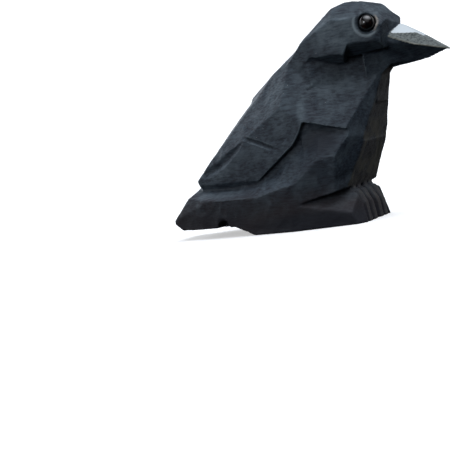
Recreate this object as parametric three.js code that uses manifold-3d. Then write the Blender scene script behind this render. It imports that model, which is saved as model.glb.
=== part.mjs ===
// A small crow carved with a knife from one block of wood, stained black, with two glass bead eyes.
// Millimetres. +X runs forward to the beak, +Y to the bird's left, +Z up; the sole lies on z = 0.
//
// The carving is a few convex lumps of wood, each left by flat knife cuts, joined into one solid.
// A cut is written as a point on the new facet and the way the facet looks:
// turn = compass angle of its outward normal from +X towards +Y, lean = how far it looks up.

import * as THREE from 'three';
import { ConvexGeometry } from 'three/addons/geometries/ConvexGeometry.js';
import { mergeVertices } from 'three/addons/utils/BufferGeometryUtils.js';
import Module from 'manifold-3d';

const wasm = await Module();
wasm.setup();

// Driving sizes
const SOLE_Z = 0;
const CROWN_Z = 45.5;
const HALF_WIDTH = 12.4;
const CUTTER = 160;

const EYE_RADIUS = 1.65;
const EYE_GAP = 0.3;
const EYE_CENTRE = [18.05, -6.55, 40.5];
const EYE_TURN = -84;
const EYE_LEAN = 2;
const EYE_RIM_RADIUS = 2.75;
const EYE_RIM_DEPTH = 0.35;
const EYE_RIM_CENTRE = [18.4, -7.26, 40.7];

const FOOT_GAP = 1.9;
const TOE_GAPS = [3.4, 6.3];
const TOE_PROFILE = [[12.5, -0.5], [12.2, 2.4], [11.9, 4.2], [11.1, 5.8], [10.2, 6.9], [9.2, 7.4]];

const rad = THREE.MathUtils.degToRad;

function solidFrom(geometry) {
  geometry.deleteAttribute('normal');
  if (geometry.getAttribute('uv')) geometry.deleteAttribute('uv');
  const merged = mergeVertices(geometry, 1e-5);
  return new wasm.Manifold(new wasm.Mesh({
    numProp: 3,
    vertProperties: new Float32Array(merged.getAttribute('position').array),
    triVerts: new Uint32Array(merged.getIndex().array),
  }));
}

function geometryFrom(solid) {
  const mesh = solid.getMesh();
  const geometry = new THREE.BufferGeometry();
  geometry.setAttribute('position', new THREE.BufferAttribute(new Float32Array(mesh.vertProperties), 3));
  geometry.setIndex(new THREE.BufferAttribute(new Uint32Array(mesh.triVerts), 1));
  return geometry;
}

function direction(turn, lean) {
  const flat = Math.cos(rad(lean));
  return new THREE.Vector3(flat * Math.cos(rad(turn)), flat * Math.sin(rad(turn)), Math.sin(rad(lean)));
}

// A big cube whose near face is the facet: what it takes away is the wood outside the cut.
function wasteBeyond([x, y, z, turn, lean]) {
  const outward = direction(turn, lean);
  const cube = new THREE.BoxGeometry(CUTTER, CUTTER, CUTTER);
  const turnTo = new THREE.Quaternion().setFromUnitVectors(new THREE.Vector3(1, 0, 0), outward);
  const centre = new THREE.Vector3(x, y, z).addScaledVector(outward, CUTTER / 2);
  cube.applyMatrix4(new THREE.Matrix4().compose(centre, turnTo, new THREE.Vector3(1, 1, 1)));
  return solidFrom(cube);
}

// The same cut on the bird's left side.
function mirrored([x, y, z, turn, lean]) {
  return [x, -y, z, -turn, lean];
}

function block(x0, x1, z0, z1, half = HALF_WIDTH) {
  const box = new THREE.BoxGeometry(x1 - x0, 2 * half, z1 - z0);
  box.translate((x0 + x1) / 2, 0, (z0 + z1) / 2);
  return solidFrom(box);
}

// middle: cuts square across the bird; sides: cuts made on its right and again on its left.
function carve(blank, { middle = [], sides = [] }) {
  let wood = blank;
  for (const cut of middle) wood = wood.subtract(wasteBeyond(cut));
  for (const cut of sides) {
    wood = wood.subtract(wasteBeyond(cut));
    wood = wood.subtract(wasteBeyond(mirrored(cut)));
  }
  return wood;
}

function join(solids) {
  return solids.reduce((whole, next) => whole.add(next));
}

// Cuts shared by neighbouring lumps
const BREAST_FRONT = [17.4, 0, 26.9, 0, -19];
const BELLY_FRONT = [13.05, 0, 14.7, 0, -26];
const BREAST_CORNER = [14.65, -6.9, 19.8, -44.5, 1.5];
const BELLY_CORNER = [12.75, -7.9, 14.7, -46, -12];
const SHOULDER_SIDE = [11.3, -10.3, 19.9, -76, 27];
const WING_LEAD = [-2.6, -9.43, 26, -90, 25.8];
const WING_UPPER = [-2.6, -9.43, 26, -116.6, 28];
const WING_MAIN = [-2.6, -9.43, 26, -103.3, 7.7];
const MANTLE_CORNER = [-13, -8, 20.04, -118, 24];
const BACK_BEVEL_UPPER = [-8, -3.6, 31.3, -140, 48];
const BACK_BEVEL_LOWER = [-16.7, -3.8, 22.6, -140, 40];
const STOP_CUT = [2.6, 0, 22.4, 180, -74];
const FLANK = [2.2, -9.8, 22.4, -84, 5];
const BASE_REAR = [-12.55, -9.3, 0, -100, -10];
const BASE_FRONT = [11, -9.3, 0, -82.4, -8];
const BACK_UPPER = [-7.1, 0, 32, 180, 55];
const BACK_LOWER = [-16.7, 0, 22.6, 180, 44];
const NAPE = [3, 0, 38.9, 180, 46];
const HEAD_SIDE = [17, -7.4, 40, -84, 2];
const HEAD_SIDE_REAR = [8, -7.2, 39, -100, 6];
const NAPE_SIDE = [3, -6.5, 36, -108, 4];

const WING_LOWER = [-11.9, -8.5, 16.6, -105, 1.5];
const WING_UNDERCUT = [-18, -7, 11.55, -105, -40];
const TAIL_WALL = [-22.9, -8.55, 8.6, -106, -10];
const HEAD_BACK = [7.6, 0, 42.7, 180, 51];
const THIGH_UNDERSIDE = [-0.8, 0, 5.5, 0, -78];
const UPPER_SIDES = [
  SHOULDER_SIDE, WING_LEAD, WING_UPPER, WING_MAIN, MANTLE_CORNER, BACK_BEVEL_UPPER, BACK_BEVEL_LOWER,
];

function breast() {
  return carve(block(1.5, 20, 1, 30), {
    middle: [BREAST_FRONT, BELLY_FRONT, THIGH_UNDERSIDE],
    sides: [BREAST_CORNER, BELLY_CORNER, FLANK, [11.3, -9.3, 19.9, -76, 27]],
  });
}

function shoulders() {
  return carve(block(-11.8, 20, 17, 37.2), {
    middle: [BREAST_FRONT, STOP_CUT, BACK_UPPER],
    sides: [BREAST_CORNER, ...UPPER_SIDES],
  });
}

function neck() {
  return carve(block(-2, 20, 24, 38), {
    middle: [[17.8, 0, 29.2, 0, -12], BACK_UPPER, NAPE],
    sides: [[13.5, -5.1, 32, -62, 0], [11, -4.6, 33, -72, 8], [3, -6.3, 36, -108, 4]],
  });
}

function jaw() {
  const chin = carve(block(15.5, 24.5, 30, 38), {
    middle: [[21.1, 0, 31.4, 0, -87], [25.8, 0, 34.5, 0, 64]],
    sides: [[21, -4.2, 37.3, -72, -20], [17, -4.5, 34, -92, 0]],
  });
  const throat = carve(block(15.5, 22, 27, 34), {
    middle: [[18.8, 0, 30.1, 0, -50]],
    sides: [[18, -3.4, 31, -62, -8]],
  });
  return join([chin, throat]);
}

function head() {
  return carve(block(-6, 24, 33.9, 46), {
    middle: [
      [13, 0, CROWN_Z, 0, 90], [19.3, 0, 43.9, 0, 73], [19.7, 0, 42.7, 0, 45],
      [9.2, 0, 44.4, 180, 71], HEAD_BACK, NAPE, [14, 0, 34.3, 0, -85],
    ],
    sides: [
      HEAD_SIDE, HEAD_SIDE_REAR, NAPE_SIDE, [21, -6.1, 39.5, -55, 0],
      [14, -6.2, 43.5, -88, 38], [14, -4, 44.9, -88, 62], [7.4, -5.4, 42.4, -120, 38],
      [22.8, -0.5, 40.5, -17, -8], [19.8, -4.6, 42.5, -50, 36],
      [16, -7.35, 36.5, -85, -48],
    ],
  });
}

function hindNeck() {
  const sides = [
    HEAD_SIDE, HEAD_SIDE_REAR, NAPE_SIDE,
    BACK_BEVEL_UPPER, [3, -3, 38.9, -140, 38], [7.4, -5.4, 42.4, -120, 38],
  ];
  const nape = carve(block(-8, 13, 28, 42), {
    middle: [HEAD_BACK, NAPE, BACK_UPPER, [4.7, 0, 35.2, 0, -52]],
    sides,
  });
  const cheek = carve(block(4.2, 14, 33.2, 42), {
    middle: [HEAD_BACK, NAPE, [9.6, 0, 33.3, 180, -66], [12.7, 0, 35, 0, -28]],
    sides: [...sides, [10, -7.9, 35.1, -100, -48]],
  });
  return join([nape, cheek]);
}

function wings() {
  return carve(block(-28, 6, 10, 34), {
    middle: [
      BACK_LOWER, [-7.1, 0, 31.5, 180, 55],
      [2.6, 0, 22.5, 0, -27], [1.3, 0, 19.9, 0, -39], [-4.2, 0, 15.3, 0, -56],
      [-18, 0, 9.8, 0, -89], [-26.3, 0, 12.5, 180, -20],
    ],
    sides: [...UPPER_SIDES, WING_LOWER, WING_UNDERCUT],
  });
}

function rump() {
  return carve(block(-26, 2.5, 7, 22), {
    middle: [[-16.7, 0, 21.6, 180, 44]],
    sides: [[-14.5, -6, 11, -102, 2], [-2, -9.3, 14, -98, 3], [-14.5, -6.8, 14, -112, 24]],
  });
}

function lowerRear() {
  return carve(block(-34, -4, 2.2, 12), {
    middle: [[-28.3, 0, 9.5, 180, 45], [-33.2, 0, 4.4, 180, 10], [-32.4, 0, 3.1, 180, -50]],
    sides: [
      BASE_REAR, TAIL_WALL, [-15.8, -10.2, 8.2, -100, 63], [-22.9, -8.4, 8.6, -112.8, 10.6],
    ],
  });
}

function base() {
  return carve(block(-20, -0.8, SOLE_Z, 13), {
    middle: [[-12.55, 0, 0, 180, -64]],
    sides: [BASE_REAR, BASE_FRONT, TAIL_WALL, [-2.5, -11.9, 10.2, -92, 48], [-7, -11.5, 9.1, -113, 42]],
  });
}

function thighs() {
  return carve(block(-10, 14, 1, 20), {
    middle: [BELLY_FRONT, THIGH_UNDERSIDE],
    sides: [
      BASE_FRONT, BASE_REAR, BELLY_CORNER, BREAST_CORNER,
      [2, -12.2, 12.1, -106, 22], [-3, -10.9, 12, -120, 22], [6, -12.2, 14, -86, 22],
    ],
  });
}

function feet() {
  const toes = carve(block(-0.8, 13.2, SOLE_Z, 8), {
    middle: [[12.4, 0, 0, 0, 6], [11.9, 0, 4.2, 0, 28], [10.4, 0, 6.8, 0, 60]],
    sides: [BASE_FRONT, [10, -9.8, 2.63, -71, 34], [11.06, -9.3, 0, -32, 12]],
  });
  const underBelly = block(-3, 9.6, SOLE_Z, 8, 6.5);
  return join([toes, underBelly]);
}

function upperBeak() {
  return carve(block(18, 34, 31, 42, 6), {
    middle: [[28, 0, 36.2, 0, 55.7], [25.8, 0, 34.8, 180, -64], [29.6, 0, 33.6, 180, -73]],
    sides: [[21, -4.4, 37.3, -60.2, 26], [21.1, -4.3, 37.7, -54, 52]],
  });
}

function lowerBeak() {
  return carve(block(18, 34, 30, 38, 6), {
    middle: [[27, 0, 34.6, 0, 69], [28, 0, 31.55, 0, -84]],
    sides: [[25.8, -2.6, 34.7, -78, -33], [25.8, -2.6, 34.7, -66, 10]],
  });
}

// side is 1 for the bird's right, where y is negative, and -1 for its left.
const RIGHT = 1;
const LEFT = -1;

// The eye is set in a shallow round hollow pressed into the side of the head.
function eyeHollow(side) {
  const outward = direction(side * EYE_TURN, EYE_LEAN);
  const toSide = new THREE.Quaternion().setFromUnitVectors(new THREE.Vector3(0, 1, 0), outward);
  const punch = new THREE.CylinderGeometry(EYE_RIM_RADIUS, EYE_RIM_RADIUS - 0.25, 2 * EYE_RIM_DEPTH, 36);
  const wall = new THREE.Vector3(EYE_RIM_CENTRE[0], side * EYE_RIM_CENTRE[1], EYE_RIM_CENTRE[2]);
  punch.applyMatrix4(new THREE.Matrix4().compose(wall, toSide, new THREE.Vector3(1, 1, 1)));
  const socket = new THREE.SphereGeometry(EYE_RADIUS + EYE_GAP, 28, 16);
  socket.translate(EYE_CENTRE[0], side * EYE_CENTRE[1], EYE_CENTRE[2]);
  return join([solidFrom(punch), solidFrom(socket)]);
}

function eyeBead(side) {
  const bead = new THREE.SphereGeometry(EYE_RADIUS, 28, 18);
  bead.translate(EYE_CENTRE[0], side * EYE_CENTRE[1], EYE_CENTRE[2]);
  return bead;
}

// Where a straight line at x and z meets a facet on the bird's right.
function facetY([x0, y0, z0, turn, lean], x, z) {
  const n = direction(turn, lean);
  return y0 - (n.x * (x - x0) + n.z * (z - z0)) / n.y;
}

// A chip cut: two slices meeting at a bottom line. Each station is a point on the surface,
// the depth there, and how far the slices run out above and below the bottom line.
function chip(stations, turn, lean, side = RIGHT, lift = 1.2) {
  const outward = direction(side * turn, lean);
  const points = stations.map(([x, y, z]) => new THREE.Vector3(x, side * y, z));
  const sections = stations.map((station, i) => {
    const [depth, upRun, downRun] = station.slice(3);
    const along = points[Math.min(i + 1, points.length - 1)].clone().sub(points[Math.max(i - 1, 0)]);
    const up = new THREE.Vector3().crossVectors(outward, along).normalize();
    if (up.z < 0) up.negate();
    const grow = (depth + lift) / depth;
    return [
      points[i].clone().addScaledVector(outward, -depth),
      points[i].clone().addScaledVector(outward, lift).addScaledVector(up, upRun * grow),
      points[i].clone().addScaledVector(outward, lift).addScaledVector(up, -downRun * grow),
    ];
  });
  const pieces = sections.slice(1).map((section, i) => (
    solidFrom(new ConvexGeometry([...sections[i], ...section]))
  ));
  return join(pieces);
}

// The lower edge of the mantle, where the folded wing tips come out from under it.
function mantleStep(side) {
  const line = [
    [-12.9, 20.0, 0.15, 0.15, 0.5], [-15.4, 18.3, 0.55, 0.7, 1.3], [-18, 16.6, 0.95, 1.4, 2],
    [-20.6, 15.3, 1.3, 2, 2.4], [-25, 13.9, 1.6, 2.4, 2.6],
  ];
  const stations = line.map(([x, z, ...runs]) => [x, facetY(WING_MAIN, x, z), z, ...runs]);
  return chip(stations, -110, 12, side);
}

// One long feather edge scored across the wing.
function featherLine(side) {
  const line = [[-12.3, 20.75, 0.25, 0.1, 0.3], [-8.3, 19.1, 0.5, 0.15, 0.45], [-4.3, 17.4, 0.3, 0.1, 0.3]];
  const stations = line.map(([x, z, ...runs]) => [x, facetY(WING_MAIN, x, z), z, ...runs]);
  return chip(stations, -103, 8, side);
}

// A notch running up the front of the feet and back over the toes.
function toeNotch(y, width, depth) {
  const stations = TOE_PROFILE.map(([x, z]) => [x, y, z, depth, width / 2, width / 2]);
  return chip(stations, 0, 28);
}

// A round gouge mark in the lower edge behind the heel, on the bird's right only.
function gougeMark() {
  const gouge = new THREE.CylinderGeometry(1.4, 2, 5, 28);
  gouge.rotateX(rad(-8));
  gouge.translate(-20, -8.6, 2.1);
  return solidFrom(gouge);
}

function body() {
  const whole = join([
    breast(), shoulders(), neck(), jaw(), head(), hindNeck(), wings(), rump(),
    lowerRear(), base(), thighs(), feet(), upperBeak(), lowerBeak(),
  ]);
  const cuts = [
    toeNotch(0, FOOT_GAP, 1.5), gougeMark(),
    ...TOE_GAPS.flatMap((y) => [toeNotch(-y, 1.1, 0.85), toeNotch(y, 1.1, 0.85)]),
    ...[RIGHT, LEFT].flatMap((side) => [eyeHollow(side), mantleStep(side), featherLine(side)]),
  ];
  return cuts.reduce((wood, waste) => wood.subtract(waste), whole);
}

const stainedWood = new THREE.MeshStandardMaterial({ color: 0x2b3238, roughness: 0.75, metalness: 0 });
const blackGlass = new THREE.MeshStandardMaterial({ color: 0x0c0908, roughness: 0.08, metalness: 0 });

const crow = new THREE.Group();
crow.name = 'carved_crow';

function place(geometry, material, name) {
  const mesh = new THREE.Mesh(geometry, material);
  mesh.name = name;
  crow.add(mesh);
}

place(geometryFrom(body()), stainedWood, 'crow_body');
place(eyeBead(RIGHT), blackGlass, 'eye_right');
place(eyeBead(LEFT), blackGlass, 'eye_left');

export default crow;
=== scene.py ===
# %% [markdown]
# # A small crow, cut with a knife from one block of wood
# The real object is a carving under 5 cm tall: flat knife facets, a matt blue-black stain that has gone thin
# and pale on the ridges, a beak brushed with grey-white paint, and two glass beads for eyes.
# The measured solids come first. They fix the size and the place of everything that follows.

# %% Open the measured solids
import math

import bpy
import numpy as np
from mathutils import Matrix, Vector


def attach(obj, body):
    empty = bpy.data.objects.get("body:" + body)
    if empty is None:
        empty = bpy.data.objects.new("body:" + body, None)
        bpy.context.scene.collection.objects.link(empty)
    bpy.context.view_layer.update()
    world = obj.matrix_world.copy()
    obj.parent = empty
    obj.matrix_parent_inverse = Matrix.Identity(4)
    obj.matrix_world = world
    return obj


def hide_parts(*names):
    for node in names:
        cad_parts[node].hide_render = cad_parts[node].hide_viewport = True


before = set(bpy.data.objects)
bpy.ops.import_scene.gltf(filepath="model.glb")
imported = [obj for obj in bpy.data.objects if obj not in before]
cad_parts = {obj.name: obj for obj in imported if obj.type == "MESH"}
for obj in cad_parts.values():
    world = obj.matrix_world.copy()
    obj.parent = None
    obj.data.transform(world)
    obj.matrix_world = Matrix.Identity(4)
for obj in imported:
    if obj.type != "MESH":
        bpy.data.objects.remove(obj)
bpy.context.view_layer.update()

MM = 0.001
wood_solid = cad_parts["crow_body"]

# %% [markdown]
# ## The blank
# A carved body could be modelled face by face, or the solid could be bevelled. Neither leaves an even
# skin for small knife marks. So the solid is copied and given a fine, even grid of faces with a voxel
# remesh, and each new point is then pulled back onto the solid, which keeps every facet where it was.

# %% Cut the blank into an even skin
SKIN_PITCH = 0.28 * MM


def even_skin(solid, name, pitch):
    blank = bpy.data.objects.new(name, solid.data.copy())
    bpy.context.scene.collection.objects.link(blank)
    remesh = blank.modifiers.new("even grid", "REMESH")
    remesh.mode = "VOXEL"
    remesh.voxel_size = pitch
    pull = blank.modifiers.new("back onto the solid", "SHRINKWRAP")
    pull.target = solid
    pull.wrap_method = "NEAREST_SURFACEPOINT"
    seen = blank.evaluated_get(bpy.context.evaluated_depsgraph_get())
    skin = bpy.data.meshes.new_from_object(seen)
    old = blank.data
    blank.modifiers.clear()
    blank.data = skin
    skin.name = name
    bpy.data.meshes.remove(old)
    return blank


crow = even_skin(wood_solid, "crow_carving", SKIN_PITCH)
print("skin:", len(crow.data.vertices), "points,", len(crow.data.polygons), "faces")

# %% [markdown]
# ## Reading the skin
# All carving below moves points in or out along the surface, in millimetres. For that the script needs
# each point's place, its outward direction and its neighbours, as plain arrays.


# %% Points, directions and neighbours
def read_points(mesh):
    flat = np.empty(len(mesh.vertices) * 3)
    mesh.vertices.foreach_get("co", flat)
    return flat.reshape(-1, 3) / MM


def read_normals(mesh):
    flat = np.empty(len(mesh.vertices) * 3)
    mesh.vertex_normals.foreach_get("vector", flat)
    return flat.reshape(-1, 3)


def write_points(mesh, points):
    mesh.vertices.foreach_set("co", (points * MM).astype(np.float32).ravel())
    mesh.update()


edge_ends = np.empty(len(crow.data.edges) * 2, np.int32)
crow.data.edges.foreach_get("vertices", edge_ends)
edge_from = np.concatenate([edge_ends[0::2], edge_ends[1::2]])
edge_to = np.concatenate([edge_ends[1::2], edge_ends[0::2]])
neighbours = np.maximum(np.bincount(edge_from, minlength=len(crow.data.vertices)), 1)


def around(values):
    """The mean of each point's neighbours."""
    if values.ndim == 1:
        return np.bincount(edge_from, values[edge_to], len(neighbours)) / neighbours
    return np.stack([around(values[:, k]) for k in range(values.shape[1])], 1)


def soften(values, rounds, share=0.5):
    for _ in range(rounds):
        values = values + share * (around(values) - values)
    return values


points = read_points(crow.data)
normals = read_normals(crow.data)
print("lowest and highest point in mm:", points.min(0).round(2), points.max(0).round(2))

# %% [markdown]
# ## Soft corners
# A knife leaves crisp ridges, but where two cuts meet in a valley the blade rolls out and leaves a small
# cove. So the ridges are eased only a little and the valleys a good deal more. How hollow a point is
# shows in how far it lies behind the average of the points around it.


# %% Ease the ridges and roll out the valleys
def standing_out(places, outward, rounds):
    """How far each point stands out from the softened surface, in mm; below zero in a hollow."""
    return np.einsum("ij,ij->i", places - soften(places, rounds), outward)


def ramp(values, low, high):
    t = np.clip((values - low) / (high - low), 0, 1)
    return t * t * (3 - 2 * t)


RIDGE_ROUNDS, VALLEY_ROUNDS, COVE_ROUNDS = 1, 6, 70
COVE_LINE = [(4.5, 20.6), (2.4, 18.6), (-0.4, 15.4), (-3.6, 13.4), (-7.0, 11.6)]
COVE_REACH = 2.6


def line_reach(places, line):
    """Distance from each place to a line of (x, z) points seen from the side, and how far along it is."""
    flat = places[:, [0, 2]]
    line = np.array(line, float)
    best = np.full(len(flat), 1e9)
    along = np.zeros(len(flat))
    foot = np.zeros((len(flat), 2))
    lengths = np.linalg.norm(np.diff(line, axis=0), axis=1)
    done = 0.0
    for start, end, length in zip(line[:-1], line[1:], lengths):
        t = np.clip((flat - start) @ (end - start) / length**2, 0, 1)
        there = start + t[:, None] * (end - start)
        gap = np.linalg.norm(flat - there, axis=1)
        closer = gap < best
        best[closer] = gap[closer]
        foot[closer] = there[closer]
        along[closer] = (done + t[closer] * length) / lengths.sum()
        done += length
    return best, along, foot


hollow = ramp(soften(-standing_out(points, normals, 12), 4), 0.02, 0.14)
eased = soften(points, RIDGE_ROUNDS)
points = eased + (soften(points, VALLEY_ROUNDS) - eased) * hollow[:, None]
deep = ramp(soften(-standing_out(points, normals, 60), 8), 0.02, 0.20)
cove = deep * ramp(line_reach(points, COVE_LINE)[0], COVE_REACH, COVE_REACH * 0.5)
points = points + (soften(points, COVE_ROUNDS) - points) * cove[:, None]
write_points(crow.data, points)
normals = read_normals(crow.data)
print("valley points:", int((hollow > 0.5).sum()), "cove points:", int((cove > 0.5).sum()))

# %% [markdown]
# ## Knife marks
# No facet on the real carving is a true plane: each was taken down in several shallow slices. A slice is
# a long shallow scoop, deepest in the middle. Many are laid over the skin at random places, each roughly
# along the way the knife ran, and the surface follows the lowest one. Where two meet, a faint ridge stays.

# %% Lay shallow slices over the skin
rng = np.random.default_rng(52)
SLICE_COUNT = 620
SLICE_LENGTH = (2.2, 5.2)
SLICE_WIDTH = (0.9, 2.1)
SLICE_DEPTH = (0.04, 0.13)
KNIFE_WAY = np.array([-0.74, 0.05, -0.67])
KNIFE_WANDER = 0.45
SAME_FACET = 0.80


def slices(places, outward, count):
    height = np.zeros(len(places))
    for pick in rng.integers(0, len(places), count):
        centre, out = places[pick], outward[pick]
        way = KNIFE_WAY + rng.normal(0, KNIFE_WANDER, 3)
        way -= out * (way @ out)
        way /= np.linalg.norm(way)
        across = np.cross(out, way)
        length, width = rng.uniform(*SLICE_LENGTH), rng.uniform(*SLICE_WIDTH)
        depth = rng.uniform(*SLICE_DEPTH)
        near = np.flatnonzero(np.abs(places - centre).max(1) < length)
        near = near[outward[near] @ out > SAME_FACET]
        step = places[near] - centre
        fall = 1 - (step @ way / length) ** 2 - (step @ across / width) ** 2
        height[near] = np.minimum(height[near], -depth * np.clip(fall, 0, 1))
    return height


relief = slices(points, soften(normals, 3), SLICE_COUNT)
print("slices reach", round(-relief.min(), 3), "mm deep, on", int((relief < -0.005).sum()), "points")

# %% [markdown]
# ## Cuts that can be counted
# Some marks are not random: the fine feather lines on the wing, the crescent slip of the gouge on the
# shoulder, and small nicks. Each is a line on the side of the bird, given as places along and above the
# ground, with its own width and depth. It is cut on the right side, and most are cut on the left as well.


# %% Score lines into the sides
RIGHT, LEFT = -1, 1


def side_mask(places, outward, side):
    return (side * places[:, 1] > 0.5) & (side * outward[:, 1] > 0.15)


def score(places, outward, line, width, depth, side):
    """A V cut along a line. The points nearest to the line are drawn onto it, so its bottom stays sharp."""
    here = side_mask(places, outward, side)
    gap, along, foot = line_reach(places, line)
    onto = here & (gap < 0.6 * SKIN_PITCH / MM)
    places[onto, 0], places[onto, 2] = foot[onto].T
    gap[onto] = 0
    taper = np.clip(np.sin(np.pi * np.clip(along, 0.03, 0.97)) * 2.2, 0, 1)
    return -depth * np.clip(1 - gap / width, 0, 1) * taper * here


SIDE_LINES = {
    "long feather": ([(-12.7, 20.75), (-8.3, 19.1), (-4.5, 17.45)], 0.42, 0.48),
    "upper feather": ([(-13.0, 23.0), (-9.1, 21.66)], 0.36, 0.16),
    "lower feather": ([(-6.2, 19.45), (-1.7, 19.0)], 0.36, 0.16),
    "shoulder nick": ([(3.0, 28.6), (5.1, 29.3)], 0.40, 0.26),
    "shoulder slip": ([(4.3, 28.4), (4.9, 26.6), (4.9, 25.0), (5.3, 23.7)], 0.75, 0.20),
}
for line, width, depth in SIDE_LINES.values():
    for side in (RIGHT, LEFT):
        relief += score(points, normals, line, width, depth, side)
print("side lines:", ", ".join(SIDE_LINES))

# %% [markdown]
# ## Putting the relief on
# The sole has to stay flat and at its height, so the relief fades out just above it. It also stays out of
# the eye hollows, which were pressed with a round punch after carving.

# %% Move the skin by the relief
EYE_CENTRE = np.array([18.05, -6.55, 40.5])
EYE_RIM = 2.75
MIRROR = np.array([1, -1, 1])


def to_right(places):
    """Each place, or its mirror image where it lies on the bird's left."""
    return np.where(places[:, 1:2] < 0, places, places * MIRROR)


eye_gap = np.linalg.norm(to_right(points) - EYE_CENTRE, axis=1)
keep_flat = ramp(points[:, 2], 0.25, 0.9) * ramp(eye_gap, EYE_RIM, EYE_RIM + 0.7)
points = points + normals * (relief * keep_flat)[:, None]
write_points(crow.data, points)
normals = read_normals(crow.data)
for face in crow.data.polygons:
    face.use_smooth = True
print("relief on; lowest point", points[:, 2].min().round(3))

# %% [markdown]
# ## Where the finish differs
# Stain rubs off ridges, and paint covers only the upper beak. Some values stand for light and shade instead:
# hollows and a few patches are darkened as painted shade, a patch on the foot top is lightened as painted light,
# a pale arc under each eye is a painted highlight, and the white of the beak's top facets is partly a painted
# highlight. The materials read these as values kept on the points: ridge, hollow, beak paint, and how much a
# point looks forward.


# %% Keep ridge, hollow and paint on the points
def keep(mesh, name, values):
    layer = mesh.attributes.new(name, "FLOAT", "POINT")
    layer.data.foreach_set("value", np.asarray(values, np.float32))


def looks(turn, lean):
    turn, lean = math.radians(turn), math.radians(lean)
    return np.array([math.cos(lean) * math.cos(turn), math.cos(lean) * math.sin(turn), math.sin(lean)])


on_right = to_right(points)
ridge = ramp(soften(standing_out(points, normals, 6), 1), 0.012, 0.09)
# hollow: how deep a point lies in a hollow. The stain darkens hollows with it as painted shade.
hollow = ramp(soften(-standing_out(points, normals, 30), 3), 0.03, 0.35)
past_brow = np.maximum(
    (on_right - [22.8, -0.5, 40.5]) @ looks(-17, -8), (on_right - [21, -6.1, 39.5]) @ looks(-55, 0)
)
above_mouth = np.minimum(
    -(on_right - [25.8, 0, 34.8]) @ looks(180, -64), -(on_right - [29.6, 0, 33.6]) @ looks(180, -73)
)
paint = ramp(past_brow, 0.0, 0.35) * ramp(above_mouth, -0.12, 0.12) * (points[:, 0] > 20)
# white: the up-facing beak facets near the brow. Their white is partly thicker paint and partly a painted highlight on
# facets that face the light.
white = paint * ramp(soften(normals[:, 2], 2), 0.55, 0.66) * ramp(points[:, 0], 28.6, 27.0)
lip = paint * ramp(above_mouth, 0.42, 0.10)
keep(crow.data, "ridge", ridge)
keep(crow.data, "hollow", hollow)
keep(crow.data, "paint", paint)
keep(crow.data, "white", white)
keep(crow.data, "lip", lip)
keep(crow.data, "forward", ramp(normals[:, 0], 0.72, 0.93))

# Where use has rubbed the stain pale, seen from the side: (x, z, reach along, reach up, amount).
# The patch on the foot top, at x 7.0 and z 5.6, is painted light: it is paler because of how light falls there.
HANDLED_AND_PAINTED_LIGHT = [
    (11.5, 39.6, 7.0, 4.2, 1.0), (20.2, 43.3, 2.6, 1.6, 0.7), (2.2, 25.6, 1.2, 3.4, 0.9),
    (8.5, 29.0, 7.0, 3.0, 0.45), (-3.0, 27.0, 5.0, 6.0, 0.40), (7.0, 5.6, 5.5, 2.2, 0.75),
    (-19.0, 9.2, 8.0, 0.8, 0.6), (-20.5, 14.0, 5.0, 1.6, 0.5),
]
# Painted shade, seen from the side: (x, z, reach along, reach up, amount). These patches are darkened
# where shade falls: on the flank under the shoulder ledge, on the thigh, and on the low facets of the base and tail.
PAINTED_SHADE_PATCHES = [(5.5, 18.0, 5.5, 3.6, 0.8), (3.0, 12.8, 5.0, 3.0, 0.3), (2.0, 1.5, 16.0, 3.0, 0.7), (-20, 4.0, 9, 3.0, 0.4)]


def patches(places, spots):
    mask = np.zeros(len(places))
    for x, z, along, up, amount in spots:
        far = np.hypot((places[:, 0] - x) / along, (places[:, 2] - z) / up)
        mask = np.maximum(mask, amount * ramp(far, 1.15, 0.35))
    return mask


keep(crow.data, "handled_and_painted_light", patches(points, HANDLED_AND_PAINTED_LIGHT))
# Painted shade patches, kept on the points for the stain to darken.
keep(crow.data, "painted_light_and_thick_paint", patches(points, PAINTED_SHADE_PATCHES))
# A pale arc on the lower rim of each eye hollow is a painted highlight, where the rim's edge catches the light.
ring = ramp(np.abs(eye_gap - EYE_RIM), 0.42, 0.10)
below_eye = ramp((on_right - EYE_CENTRE) @ looks(200, -55), -0.4, 1.2)
keep(crow.data, "eye rim highlight", ring * below_eye)
beside_eye = ramp(np.abs(eye_gap - 2.0), 0.55, 0.15) * ramp((on_right - EYE_CENTRE) @ looks(0, 0), 1.2, 1.8)
keep(crow.data, "bare ring", beside_eye)
print("points: painted", int((paint > 0.5).sum()), "white", int((white > 0.5).sum()), "ridge", int((ridge > 0.5).sum()))

# %% [markdown]
# ## Bead eyes
# Each eye is a round glass bead set in its hollow. A finely divided ball is spun up point by point, with
# the tiny mould seam that a pressed glass bead has.

# %% Make the two beads
BEAD_RADIUS = 1.65
BEAD_RINGS, BEAD_STEPS = 48, 72


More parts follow.
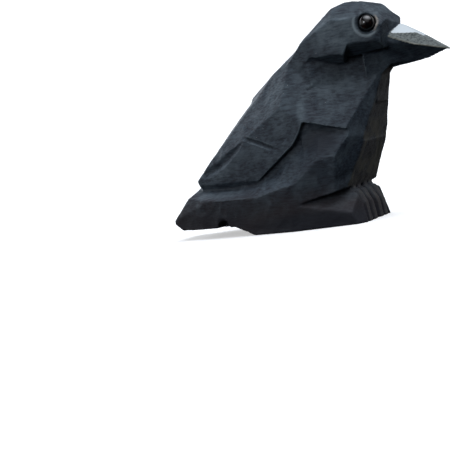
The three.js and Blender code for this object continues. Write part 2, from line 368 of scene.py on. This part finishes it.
def bead(side):
    rows, faces = [], []
    for i in range(BEAD_RINGS + 1):
        rise = math.pi * i / BEAD_RINGS
        seam = 1 + 0.004 * math.exp(-((rise - math.pi / 2) / 0.03) ** 2) - 0.004
        for j in range(BEAD_STEPS):
            turn = 2 * math.pi * j / BEAD_STEPS
            r = BEAD_RADIUS * seam
            rows.append((r * math.sin(rise) * math.cos(turn), r * math.cos(rise), r * math.sin(rise) * math.sin(turn)))
    for i in range(BEAD_RINGS):
        for j in range(BEAD_STEPS):
            a, b = i * BEAD_STEPS + j, i * BEAD_STEPS + (j + 1) % BEAD_STEPS
            faces.append((a, a + BEAD_STEPS, b + BEAD_STEPS, b))
    mesh = bpy.data.meshes.new("bead")
    x, y, z = EYE_CENTRE
    mesh.from_pydata([((x + p[0]) * MM, (-side * y + p[1]) * MM, (z + p[2]) * MM) for p in rows], [], faces)
    mesh.validate()
    mesh.polygons.foreach_set("use_smooth", [True] * len(mesh.polygons))
    piece = bpy.data.objects.new("bead_right" if side == RIGHT else "bead_left", mesh)
    bpy.context.scene.collection.objects.link(piece)
    return piece


beads = {side: bead(side) for side in (RIGHT, LEFT)}
print("beads:", [b.name for b in beads.values()])

# %% [markdown]
# ## Shader helpers
# A material is a small graph of nodes. Two helpers keep the graphs readable: one adds a node and sets its
# inputs, the other starts a node group with named sockets.


# %% Helpers for nodes and groups
class Graph:
    """Adds nodes to a tree. An input is a value, or another node's output that is linked to it."""

    def __init__(self, tree):
        self.tree = tree

    def add(self, kind, inputs=None, out=0, **settings):
        node = self.tree.nodes.new(kind)
        for key, value in settings.items():
            setattr(node, key, value)
        for key, value in (inputs or {}).items():
            if isinstance(value, bpy.types.NodeSocket):
                self.tree.links.new(value, node.inputs[key])
            else:
                node.inputs[key].default_value = value
        return node.outputs[out] if node.outputs else node

    def math(self, operation, a, b=0.0, c=0.0, clamp=False):
        return self.add("ShaderNodeMath", {0: a, 1: b, 2: c}, operation=operation, use_clamp=clamp)

    def ramp(self, value, low, high, to_low=0.0, to_high=1.0):
        return self.add(
            "ShaderNodeMapRange",
            {"Value": value, "From Min": low, "From Max": high, "To Min": to_low, "To Max": to_high},
            interpolation_type="SMOOTHSTEP",
        )

    def mix(self, factor, a, b):
        return self.add("ShaderNodeMix", {0: factor, 6: a, 7: b}, out=2, data_type="RGBA")

    def noise(self, where, scale, detail=4.0, rough=0.55, warp=0.0):
        return self.add(
            "ShaderNodeTexNoise",
            {"Vector": where, "Scale": scale, "Detail": detail, "Roughness": rough, "Distortion": warp},
        )

    def stretch(self, where, by):
        return self.add("ShaderNodeVectorMath", {0: where, 1: by}, operation="MULTIPLY")

    def kept(self, name):
        return self.add("ShaderNodeAttribute", out=2, attribute_name=name)

    def place(self):
        """The point's place in the row frame, in millimetres."""
        spot = self.add("ShaderNodeTexCoord", out=3)
        return self.add("ShaderNodeVectorMath", {0: spot, 1: (1000, 1000, 1000)}, operation="MULTIPLY")


def new_group(name, inputs, outputs):
    tree = bpy.data.node_groups.new(name, "ShaderNodeTree")
    for label, kind, value in inputs:
        socket = tree.interface.new_socket(label, in_out="INPUT", socket_type=kind)
        if value is not None:
            socket.default_value = value
    for label, kind in outputs:
        tree.interface.new_socket(label, in_out="OUTPUT", socket_type=kind)
    graph = Graph(tree)
    start = tree.nodes.new("NodeGroupInput")
    end = tree.nodes.new("NodeGroupOutput")
    return graph, {s.name: s for s in start.outputs if s.name}, end


def finish_group(graph, end, values):
    for label, value in values.items():
        graph.tree.links.new(value, end.inputs[label])


def use(graph, name, inputs):
    node = graph.tree.nodes.new("ShaderNodeGroup")
    node.node_tree = bpy.data.node_groups[name]
    for key, value in inputs.items():
        if isinstance(value, bpy.types.NodeSocket):
            graph.tree.links.new(value, node.inputs[key])
        else:
            node.inputs[key].default_value = value
    return node.outputs


FLOAT, VECTOR, COLOUR = "NodeSocketFloat", "NodeSocketVector", "NodeSocketColor"
print("helpers ready")

# %% [markdown]
# ## Wood grain
# Through the thin stain the grain shows as fine broken streaks that run the length of the block, from
# beak to tail. Noise that is squeezed along one axis gives streaks. The group is shared by the stained
# wood and the painted beak, because the same wood lies under both.

# %% Group: wood grain
graph, given, end = new_group(
    "wood grain",
    [("Place", VECTOR, None), ("Fineness", FLOAT, 1.0)],
    [("Streaks", FLOAT), ("Blotches", FLOAT), ("Height", FLOAT)],
)
bent = graph.add("ShaderNodeVectorMath", {0: graph.add("ShaderNodeTexNoise", {"Vector": given["Place"], "Scale": 0.12}, out=1), 1: (0.8, 0.8, 0.8), 2: given["Place"]}, operation="MULTIPLY_ADD")
fine = graph.add("ShaderNodeVectorMath", {0: bent, "Scale": given["Fineness"]}, operation="SCALE")
streaks = graph.noise(graph.stretch(fine, (0.16, 1.0, 1.0)), 2.6, 6.0, 0.62)
threads = graph.noise(graph.stretch(fine, (0.22, 1.0, 1.0)), 6.5, 3.0, 0.5)
blotches = graph.noise(given["Place"], 0.30, 5.0, 0.6, 0.4)
height = graph.math("MULTIPLY_ADD", threads, 0.45, streaks)
finish_group(graph, end, {"Streaks": streaks, "Blotches": blotches, "Height": height})

# %% [markdown]
# ## Brush and knife scratches
# The chest was brushed up and down, and stray light scratches cross the sides. They are the same kind of
# streak, stretched along another axis, with only the strongest kept.

# %% Group: scratches
graph, given, end = new_group(
    "scratches",
    [("Place", VECTOR, None), ("Amount", FLOAT, 0.5)],
    [("Upright", FLOAT), ("Level", FLOAT)],
)
upright = graph.noise(graph.stretch(given["Place"], (1.0, 1.0, 0.10)), 2.8, 5.0, 0.65, 0.6)
level = graph.noise(graph.stretch(given["Place"], (0.10, 0.6, 1.0)), 3.0, 5.0, 0.68, 0.5)
low = graph.math("MULTIPLY_ADD", given["Amount"], -0.25, 0.68)
high = graph.math("ADD", low, 0.16)
finish_group(graph, end, {
    "Upright": graph.ramp(upright, low, high),
    "Level": graph.ramp(level, low, high),
})

# %% [markdown]
# ## Specks of dust
# A few tiny pale specks sit on the wood and on the beads.

# %% Group: specks
graph, given, end = new_group(
    "specks", [("Place", VECTOR, None), ("Amount", FLOAT, 0.5)], [("Mask", FLOAT)]
)
cells = graph.add("ShaderNodeTexVoronoi", {"Vector": given["Place"], "Scale": 1.1}, feature="F1")
chance = graph.add("ShaderNodeTexVoronoi", {"Vector": given["Place"], "Scale": 1.1}, out=1, feature="F1")
picked = graph.math("LESS_THAN", graph.add("ShaderNodeSeparateColor", {0: chance}), graph.math("MULTIPLY", given["Amount"], 0.1))
finish_group(graph, end, {"Mask": graph.math("MULTIPLY", picked, graph.ramp(cells, 0.10, 0.05))})

# %% [markdown]
# ## Stain
# The stain is nearly black with a blue cast. It is a little paler and bluer where it was rubbed; one pale
# patch, on the foot top, is painted light instead of wear. Hollows and a few patches are darkened to the
# deepest stain colour as painted shade, and low down the colour turns darker and browner as painted shade
# with a warm tint of light bounced up from below. This colour work is one group, because the bare edges of
# the painted beak show the same stain.

# %% Group: rubbed stain
graph, given, end = new_group(
    "rubbed stain",
    [
        ("Place", VECTOR, None), ("Ridge", FLOAT, 0.0), ("Hollow", FLOAT, 0.0), ("Forward", FLOAT, 0.0),
        ("Handled And Painted Light", FLOAT, 0.0), ("Painted Shade", FLOAT, 0.0),
    ],
    [("Color", COLOUR), ("Roughness", FLOAT), ("Height", FLOAT)],
)
grain = use(graph, "wood grain", {"Place": given["Place"], "Fineness": 1.0})
marks = use(graph, "scratches", {"Place": given["Place"], "Amount": 0.5})
# The deepest stain colour is the dark of the grain and also the colour of the painted shade.
DEEP_STAIN_AND_SHADE = (0.008, 0.012, 0.022, 1)
PLAIN_STAIN = (0.026, 0.041, 0.058, 1)
RUBBED_STAIN = (0.105, 0.140, 0.165, 1)
# The warm colour is painted shade low down, tinted by light bounced up from below.
PAINTED_WARM_SHADE = (0.024, 0.017, 0.020, 1)
OLIVE_WEAR = (0.100, 0.098, 0.070, 1)
colour = graph.mix(graph.ramp(grain["Streaks"], 0.36, 0.62), DEEP_STAIN_AND_SHADE, PLAIN_STAIN)
cloud = graph.math("MULTIPLY", graph.ramp(grain["Blotches"], 0.42, 0.68), 0.30)
colour = graph.mix(cloud, colour, RUBBED_STAIN)
# Rubbed pale patches; the one on the foot top is painted light, paler because of how light falls there.
handled_and_painted_light = graph.math("MULTIPLY", given["Handled And Painted Light"], graph.ramp(grain["Blotches"], 0.28, 0.60, 0.25, 0.85))
handled_and_painted_light = graph.math("MULTIPLY", handled_and_painted_light, graph.ramp(grain["Streaks"], 0.30, 0.60, 0.45, 1.0))
colour = graph.mix(handled_and_painted_light, colour, RUBBED_STAIN)
side_marks = graph.math("MULTIPLY", marks["Level"], graph.math("MULTIPLY_ADD", given["Forward"], -0.38, 0.38))
colour = graph.mix(side_marks, colour, RUBBED_STAIN)
chest_marks = graph.math("MULTIPLY", marks["Upright"], graph.math("MULTIPLY", given["Forward"], 0.60))
colour = graph.mix(chest_marks, colour, RUBBED_STAIN)
apart = graph.add("ShaderNodeSeparateXYZ", {0: given["Place"]}, out=2)
belly = graph.math("MULTIPLY", graph.ramp(apart, 26.0, 19.0), given["Forward"])
olive = graph.math("MULTIPLY", belly, graph.ramp(grain["Blotches"], 0.44, 0.62, 0.0, 0.6))
colour = graph.mix(olive, colour, OLIVE_WEAR)
worn = graph.math("ADD", given["Ridge"], graph.math("MULTIPLY_ADD", grain["Blotches"], 1.1, -0.62))
colour = graph.mix(graph.ramp(worn, 0.2, 0.9, 0.0, 0.60), colour, RUBBED_STAIN)
# Painted shade low down: the colour turns darker and browner towards the sole, a painted warm bounce of light.
warm_shade_low = graph.ramp(graph.math("MULTIPLY_ADD", grain["Blotches"], 7.0, apart), 15.0, 7.0)
colour = graph.mix(graph.math("MULTIPLY", warm_shade_low, 0.75), colour, PAINTED_WARM_SHADE)
# Painted shade: hollows and the shade patches go to the deepest stain colour.
painted_shade = graph.math("MAXIMUM", graph.math("MULTIPLY", given["Hollow"], 0.7), given["Painted Shade"])
colour = graph.mix(painted_shade, colour, DEEP_STAIN_AND_SHADE)
rough = graph.ramp(grain["Streaks"], 0.3, 0.7, 0.72, 0.56)
height = graph.math("MULTIPLY_ADD", marks["Upright"], graph.math("MULTIPLY", given["Forward"], 0.5), grain["Height"])
finish_group(graph, end, {"Color": colour, "Roughness": rough, "Height": height})

# %% [markdown]
# ## The stained wood with its painted beak
# Stain and paint meet on one piece of wood, so one material holds both. The paint is white on the
# up-facing facets near the brow, partly thick white paint and partly a painted highlight on those facets, and
# wiped thin and grey towards the tip, where the grain drags it into streaks. The pale arc under each eye is a
# painted highlight on the rim of its hollow.


# %% Material: stained and painted wood
def new_material(name):
    material = bpy.data.materials.new(name)
    material.use_nodes = True
    tree = material.node_tree
    tree.nodes.clear()
    return material, Graph(tree)


wood, graph = new_material("stained wood")
spot = graph.place()
stain = use(graph, "rubbed stain", {
    "Place": spot, "Ridge": graph.kept("ridge"), "Hollow": graph.kept("hollow"),
    "Forward": graph.kept("forward"), "Handled And Painted Light": graph.kept("handled_and_painted_light"), "Painted Shade": graph.kept("painted_light_and_thick_paint"),
})
grain = use(graph, "wood grain", {"Place": spot, "Fineness": 1.5})
specks = use(graph, "specks", {"Place": spot, "Amount": 0.5})
WHITE_PAINT_AND_HIGHLIGHT = (0.66, 0.72, 0.75, 1)
THIN_PAINT = (0.175, 0.200, 0.195, 1)
BARE_STREAK = (0.050, 0.062, 0.060, 1)
PALE_LIP = (0.34, 0.34, 0.29, 1)
thin = graph.mix(graph.ramp(grain["Streaks"], 0.56, 0.40, 0.0, 0.9), THIN_PAINT, BARE_STREAK)
thin = graph.mix(graph.math("MULTIPLY", graph.kept("lip"), 0.75), thin, PALE_LIP)
# The white on the up-facing facets near the brow is partly thicker paint and partly a painted highlight.
painted_light_and_thick_paint = graph.ramp(graph.math("MULTIPLY_ADD", grain["Streaks"], 0.5, graph.kept("white")), 0.50, 0.80)
paint_colour = graph.mix(painted_light_and_thick_paint, thin, WHITE_PAINT_AND_HIGHLIGHT)
ragged = graph.math("MULTIPLY_ADD", grain["Streaks"], 0.9, graph.math("SUBTRACT", graph.kept("paint"), 0.45))
covered = graph.ramp(ragged, 0.30, 0.55)
colour = graph.mix(covered, stain["Color"], paint_colour)
# Painted highlight: a pale arc on the lower rim of the eye hollow, where its edge catches the light. The bare wood
# beside the bead is worn.
RIM_HIGHLIGHT, RING_BARE = (0.22, 0.27, 0.30, 1), (0.36, 0.31, 0.26, 1)
ring = graph.math("MULTIPLY", graph.kept("eye rim highlight"), graph.ramp(grain["Blotches"], 0.30, 0.55, 0.35, 0.9))
colour = graph.mix(ring, colour, RIM_HIGHLIGHT)
bare = graph.math("MULTIPLY", graph.kept("bare ring"), graph.ramp(grain["Streaks"], 0.35, 0.6, 0.3, 0.9))
colour = graph.mix(bare, colour, RING_BARE)
SPECK_PALE = (0.45, 0.47, 0.47, 1)
colour = graph.mix(graph.math("MULTIPLY", specks["Mask"], 0.6), colour, SPECK_PALE)
rough = graph.add("ShaderNodeMix", {0: covered, 2: stain["Roughness"], 3: 0.5}, data_type="FLOAT")
bump = graph.add("ShaderNodeBump", {"Strength": 0.55, "Distance": 0.00006, "Height": stain["Height"]})
surface = graph.add("ShaderNodeBsdfPrincipled", {
    "Base Color": colour, "Roughness": rough, "Normal": bump, "Specular IOR Level": 0.42,
})
graph.add("ShaderNodeOutputMaterial", {"Surface": surface})
crow.data.materials.clear()
crow.data.materials.append(wood)
print("material:", wood.name, len(wood.node_tree.nodes), "nodes")

# %% [markdown]
# ## Bead glass
# The beads are dark brown glass, so deep that they look black, with a polished skin. A faint brown swirl
# in the glass and a few specks of dust keep them from looking like plain balls.

# %% Material: bead glass
glass, graph = new_material("bead glass")
spot = graph.place()
specks = use(graph, "specks", {"Place": spot, "Amount": 0.5})
swirl = graph.noise(spot, 0.9, 3.0, 0.5, 0.3)
glow = graph.mix(graph.ramp(swirl, 0.45, 0.75), (0.006, 0.005, 0.006, 1), (0.030, 0.012, 0.007, 1))
colour = graph.mix(graph.math("MULTIPLY", specks["Mask"], 0.3), glow, (0.3, 0.3, 0.3, 1))
rough = graph.ramp(specks["Mask"], 0.0, 1.0, 0.05, 0.5)
surface = graph.add("ShaderNodeBsdfPrincipled", {
    "Base Color": colour, "Roughness": rough, "IOR": 1.52, "Coat Weight": 0.6, "Coat Roughness": 0.03,
})
graph.add("ShaderNodeOutputMaterial", {"Surface": surface})
for piece in beads.values():
    piece.data.materials.append(glass)
print("material:", glass.name)

# %% [markdown]
# ## Everything rides on the one body
# A carving with no joint is one body. Each new piece takes the place of its measured solid.

# %% Tie the pieces to the body
for piece, node, finish in (
    (crow, "crow_body", "stained_wood"),
    (beads[RIGHT], "eye_right", "bead_glass"),
    (beads[LEFT], "eye_left", "bead_glass"),
):
    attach(piece, "root")
    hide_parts(node)

# %% [markdown]
# ## The camera
# The photograph was taken almost level, a little in front of the bird's right side, with the camera
# tipped sideways. The lens is a long one. The bird sits in the upper right of the frame, so the camera
# looks past it: the small turn between the bird and the frame's middle is added last.

# %% Set up the camera
CAMERA_TURN, CAMERA_RISE, CAMERA_TIP = 22.0, 1.6, 8.55
CAMERA_DISTANCE = 0.350
FRAME_PIXELS, FOCAL_PIXELS = 450, 1640.0
SENSOR = 36.0
SEEN_POINT = Vector((0, 0, 0.022))
SEEN_AT = (310.3, 121.5)

turn, rise, tip = (math.radians(x) for x in (CAMERA_TURN, CAMERA_RISE, CAMERA_TIP))
back = Vector((math.sin(turn) * math.cos(rise), -math.cos(turn) * math.cos(rise), math.sin(rise)))
level = Vector((math.cos(turn), math.sin(turn), 0))
above = back.cross(level)
right = math.cos(tip) * level - math.sin(tip) * above
up = math.sin(tip) * level + math.cos(tip) * above
aim = Vector(((SEEN_AT[0] - FRAME_PIXELS / 2) / FOCAL_PIXELS, (FRAME_PIXELS / 2 - SEEN_AT[1]) / FOCAL_PIXELS, -1))
off_axis = Vector((0, 0, -1)).rotation_difference(aim.normalized()).to_matrix()
stance = Matrix((right, up, back)).transposed() @ off_axis.transposed()
lens = bpy.data.cameras.new("camera")
lens.sensor_width = SENSOR
lens.lens = SENSOR * FOCAL_PIXELS / FRAME_PIXELS
lens.clip_start, lens.clip_end = 0.01, 10
camera = bpy.data.objects.new("camera", lens)
camera.matrix_world = Matrix.Translation(SEEN_POINT + CAMERA_DISTANCE * back) @ stance.to_4x4()
bpy.context.scene.collection.objects.link(camera)
bpy.context.scene.camera = camera
print("camera at", [round(x, 3) for x in camera.location], "lens", round(lens.lens, 1))

# %% [markdown]
# ## Floor
# The bird stands on a wide sheet of white paper that curves up far behind it on all sides, like a bowl,
# so no edge shows from any side. The paper takes the soft shadow under the bird. It doesn't light the bird
# or mirror in it, because the low facets in the photograph are dark and take next to no light from below.

# %% Floor
FLOOR_REACH, FLOOR_CURVE, FLOOR_RISE = 1.6, 0.8, 2.2
FLOOR_STEPS, CURVE_STEPS = 96, 14
PAPER, PAPER_GLOW = (0.8, 0.8, 0.8, 1), 0.45


def bowl():
    profile = [(r, 0.0) for r in np.linspace(0, FLOOR_REACH, CURVE_STEPS)[1:]]
    profile += [
        (FLOOR_REACH + FLOOR_CURVE * math.sin(a), FLOOR_CURVE * (1 - math.cos(a)))
        for a in np.linspace(0, math.pi / 2, CURVE_STEPS)[1:]
    ]
    profile.append((FLOOR_REACH + FLOOR_CURVE, FLOOR_RISE))
    rows, faces = [(0, 0, 0)], []
    for r, z in profile:
        for j in range(FLOOR_STEPS):
            a = 2 * math.pi * j / FLOOR_STEPS
            rows.append((r * math.cos(a), r * math.sin(a), z))
    for j in range(FLOOR_STEPS):
        faces.append((0, 1 + j, 1 + (j + 1) % FLOOR_STEPS))
    for i in range(len(profile) - 1):
        for j in range(FLOOR_STEPS):
            a, b = 1 + i * FLOOR_STEPS + j, 1 + i * FLOOR_STEPS + (j + 1) % FLOOR_STEPS
            faces.append((a, a + FLOOR_STEPS, b + FLOOR_STEPS, b))
    mesh = bpy.data.meshes.new("paper floor")
    mesh.from_pydata(rows, [], faces)
    mesh.polygons.foreach_set("use_smooth", [True] * len(mesh.polygons))
    return bpy.data.objects.new("paper_floor", mesh)


floor = bowl()
bpy.context.scene.collection.objects.link(floor)
paper, graph = new_material("white paper")
lit = graph.add("ShaderNodeBsdfDiffuse", {"Color": PAPER})
glow = graph.add("ShaderNodeEmission", {"Color": (1, 1, 1, 1), "Strength": PAPER_GLOW})
surface = graph.add("ShaderNodeAddShader", {0: lit, 1: glow})
graph.add("ShaderNodeOutputMaterial", {"Surface": surface})
floor.data.materials.append(paper)
floor.visible_diffuse = floor.visible_glossy = floor.visible_shadow = False
print("floor:", len(floor.data.polygons), "faces")

# %% [markdown]
# ## Light
# The bird's skin is nearly black, so what makes its facets pale is mostly the soft mirror image of bright
# things around it. Lamps close by would give hard edges, so the light is a room of soft glows instead:
# each glow is a round patch of sky with a direction, a spread and a strength. All but the last come from a
# fit: forty such patches were rendered one by one, the strengths that best match how bright the wood is in
# the photograph were solved for, and the nine strongest were kept and rounded. The names only say what such
# a light would be in a room. The last one was added apart from the fit: a small window that shows in the bead.

# %% A room of soft glows
# name: (turn, lean, spread in degrees, strength, colour)
DAYLIGHT, WALL, WOODWORK = (0.93, 0.98, 1.06), (1.0, 1.0, 1.0), (1.1, 0.98, 0.9)
GLOWS = {
    "window behind the tail": (150, 6, 40, 3.8, DAYLIGHT),
    "ceiling in front": (0, 66, 40, 1.9, DAYLIGHT),
    "ceiling": (0, 88, 40, 1.6, DAYLIGHT),
    "ceiling beside": (-72, 66, 40, 0.45, DAYLIGHT),
    "wall in front": (60, 6, 40, 0.5, WALL),
    "wall beside": (-120, 6, 40, 0.45, WALL),
    "wall above the camera": (-62, 36, 40, 0.4, WALL),
    "room behind the camera": (-150, 6, 40, 0.3, WALL),
    "table behind": (90, -28, 40, 0.35, WOODWORK),
    "window in the eye": (-112, 14, 11, 7.0, DAYLIGHT),
}
GLOW_CORE = 0.2
HORIZON, BELOW_HORIZON = (-0.30, 0.05), 0.2

room = bpy.data.worlds.new("room")
room.use_nodes = True
room.node_tree.nodes.clear()
graph = Graph(room.node_tree)
towards = graph.add("ShaderNodeTexCoord")
total = None
for turn, lean, spread, strength, colour in GLOWS.values():
    facing = graph.add(
        "ShaderNodeVectorMath", {0: towards, 1: tuple(looks(turn, lean))}, out=1, operation="DOT_PRODUCT"
    )
    edge, core = math.cos(math.radians(spread)), math.cos(math.radians(spread * GLOW_CORE))
    patch = graph.add("ShaderNodeVectorMath", {
        0: [c * strength for c in colour], "Scale": graph.ramp(facing, edge, core),
    }, operation="SCALE")
    total = graph.add("ShaderNodeVectorMath", {0: total, 1: patch}) if total else patch
upward = graph.add("ShaderNodeSeparateXYZ", {0: towards}, out=2)
above_table = graph.ramp(upward, *HORIZON, BELOW_HORIZON, 1.0)
seen_directly = graph.add("ShaderNodeLightPath")
glows = graph.add("ShaderNodeBackground", {"Color": total, "Strength": above_table})
white = graph.add("ShaderNodeBackground", {"Color": (1, 1, 1, 1), "Strength": 1.0})
sky = graph.add("ShaderNodeMixShader", {0: seen_directly, 1: glows, 2: white})
graph.add("ShaderNodeOutputWorld", {"Surface": sky})
bpy.context.scene.world = room
bpy.context.scene.view_settings.view_transform = "Standard"
print("glows:", ", ".join(GLOWS))
